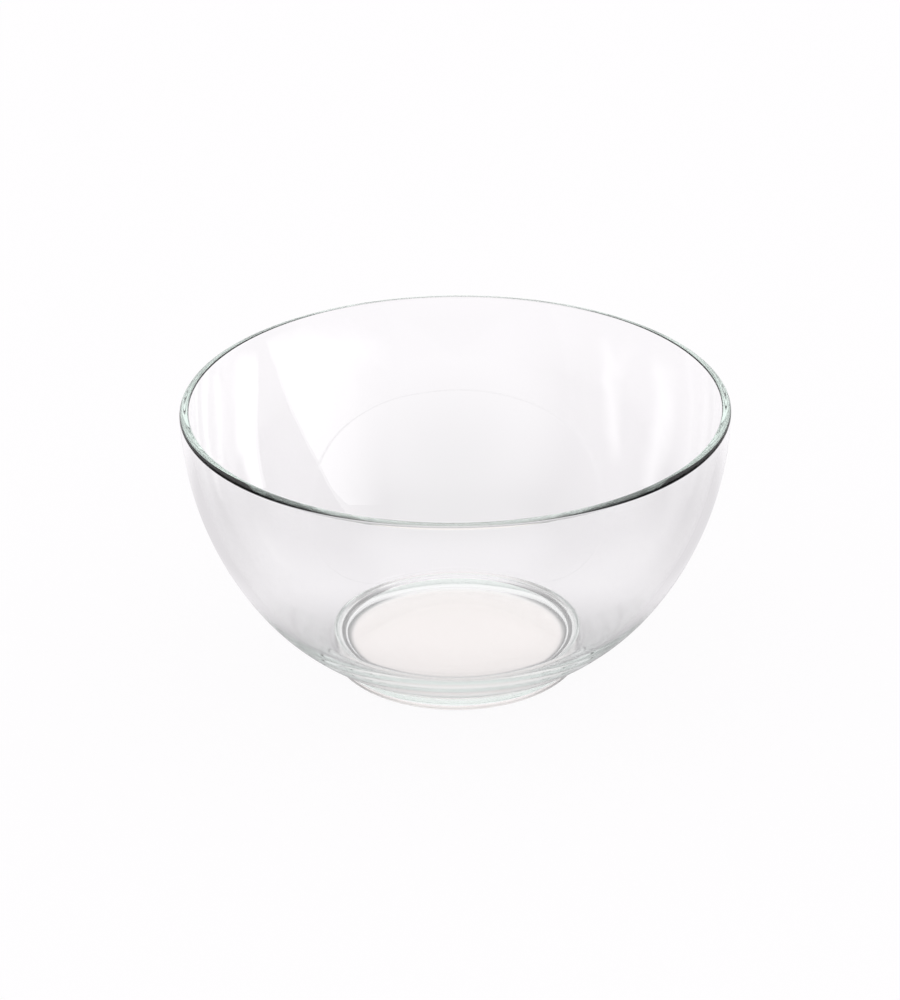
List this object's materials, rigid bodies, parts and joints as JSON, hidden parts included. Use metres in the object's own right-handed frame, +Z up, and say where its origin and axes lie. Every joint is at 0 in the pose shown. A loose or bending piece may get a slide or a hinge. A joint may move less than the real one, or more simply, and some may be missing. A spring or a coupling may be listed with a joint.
{
  "type": "salad bowl",
  "caption": "Round clear glass salad bowl with a near-hemispherical wall, a lip that leans inwards and a narrow foot ring, for serving and mixing food.",
  "frame": {"origin": "on the table, under the middle of the foot ring", "axes": "+Z up, along the axis that the bowl is turned about; X and Y are alike"},
  "size_m": [0.23, 0.23, 0.119],
  "materials": {
    "clear_glass": "fire-polished, clear, with a faint green tint in the thickness of the lip"
  },
  "bodies": {
    "root": {"bowl": "clear_glass"}
  },
  "joints": []
}
